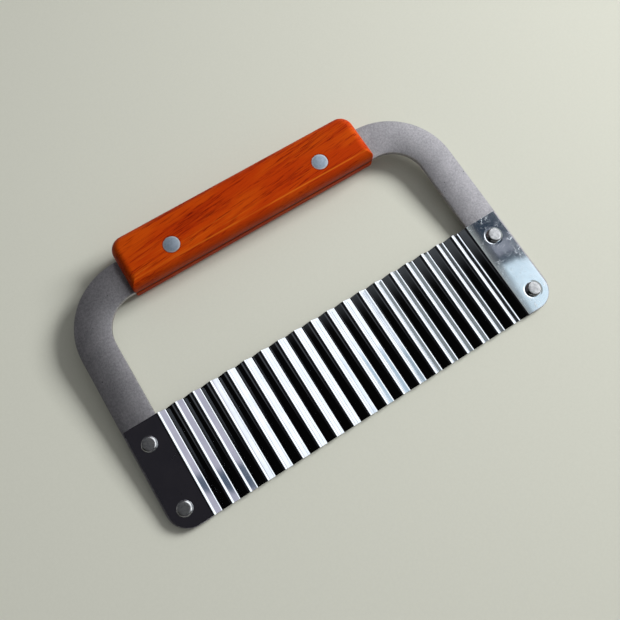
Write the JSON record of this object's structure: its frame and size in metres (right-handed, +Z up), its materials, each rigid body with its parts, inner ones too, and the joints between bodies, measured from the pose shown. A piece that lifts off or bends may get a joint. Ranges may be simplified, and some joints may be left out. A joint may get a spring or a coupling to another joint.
{
  "type": "soap cutter",
  "caption": "Hand cutter with a corrugated metal blade riveted across a flat metal frame, and a slotted wooden handle, for slicing soap with a rippled face.",
  "frame": {"origin": "on the table under the middle of the tool, as it lies on the back edge of its blade and the rounded edge of its handle", "axes": "+X along the blade to the right seen from the front, +Y from the cutting edge to the handle, +Z up from the table; the tool's own plane leans about 3.7 degrees, higher at the handle"},
  "size_m": [0.19, 0.1232, 0.0165],
  "materials": {
    "frame_steel": "satin, finely ground",
    "blade_steel": "mirror polished stainless steel",
    "handle_wood": "orange-red stain under gloss lacquer, darker streaks along the grain",
    "blade_rivets": "polished steel",
    "handle_rivets": "satin, sanded flush with the wood"
  },
  "bodies": {
    "root": {"frame": "frame_steel", "blade": "blade_steel", "handle": "handle_wood", "blade_rivet_upper_left": "blade_rivets", "blade_rivet_lower_left": "blade_rivets", "blade_rivet_upper_right": "blade_rivets", "blade_rivet_lower_right": "blade_rivets", "handle_sleeve_left": "handle_rivets", "handle_sleeve_right": "handle_rivets", "handle_pin_left": "handle_rivets", "handle_pin_right": "handle_rivets"}
  },
  "joints": []
}
